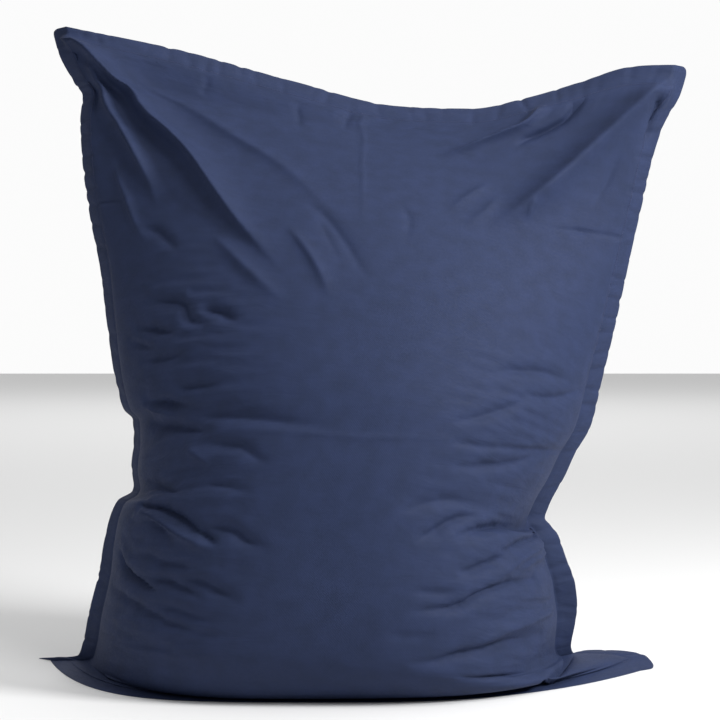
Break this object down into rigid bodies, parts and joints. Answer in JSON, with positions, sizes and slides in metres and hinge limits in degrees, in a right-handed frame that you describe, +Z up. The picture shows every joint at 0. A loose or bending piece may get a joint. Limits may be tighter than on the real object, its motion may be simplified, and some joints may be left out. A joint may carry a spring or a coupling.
{
  "type": "bean bag chair",
  "caption": "Flat-cut pillow bean bag stood up as a chair: full belly, sewn flange all round, horns at its top corners, fins on the floor, locked zip at the back.",
  "frame": {"origin": "middle of the bounding box at floor level, under the belly", "axes": "+Z up, -Y towards the sitter's side (the belly), +X to the right seen from the front"},
  "size_m": [1.4002, 0.6834, 1.3474],
  "materials": {
    "cover_cloth": "coated polyester plain weave, navy, faint sheen",
    "zip_tape": "woven polyester tape, navy",
    "zip_coil": "nylon monofilament coil",
    "zip_metal": "zinc die casting, enamelled",
    "spring_steel": "rolled strip",
    "garage_cloth": "folded offcut of the cover cloth",
    "label_satin": "woven satin ribbon, blank",
    "liner_cloth": "non-woven polypropylene",
    "closure_strip": "hook and loop",
    "bead_foam": "expanded polystyrene beads"
  },
  "bodies": {
    "root": {"cover_front_panel": "cover_cloth", "cover_back_panel": "cover_cloth", "zip_facing": "cover_cloth", "zip_tape_upper": "zip_tape", "zip_tape_lower": "zip_tape", "zip_coil_upper": "zip_coil", "zip_coil_lower": "zip_coil", "zip_stop_left": "zip_metal", "zip_stop_right": "zip_metal", "zip_garage": "garage_cloth", "care_label": "label_satin", "liner_front_panel": "liner_cloth", "liner_back_panel": "liner_cloth", "liner_loop_strip": "closure_strip", "liner_hook_strip": "closure_strip", "bead_fill": "bead_foam"},
    "slider": {"zip_slider": "zip_metal", "zip_slider_cap": "zip_metal", "zip_lock_spring": "spring_steel"}
  },
  "joints": [
    {"name": "zip_slide", "type": "slide", "parent": "root", "child": "slider", "axis": [1, 0, 0], "range_m": [0, 0.475]}
  ]
}
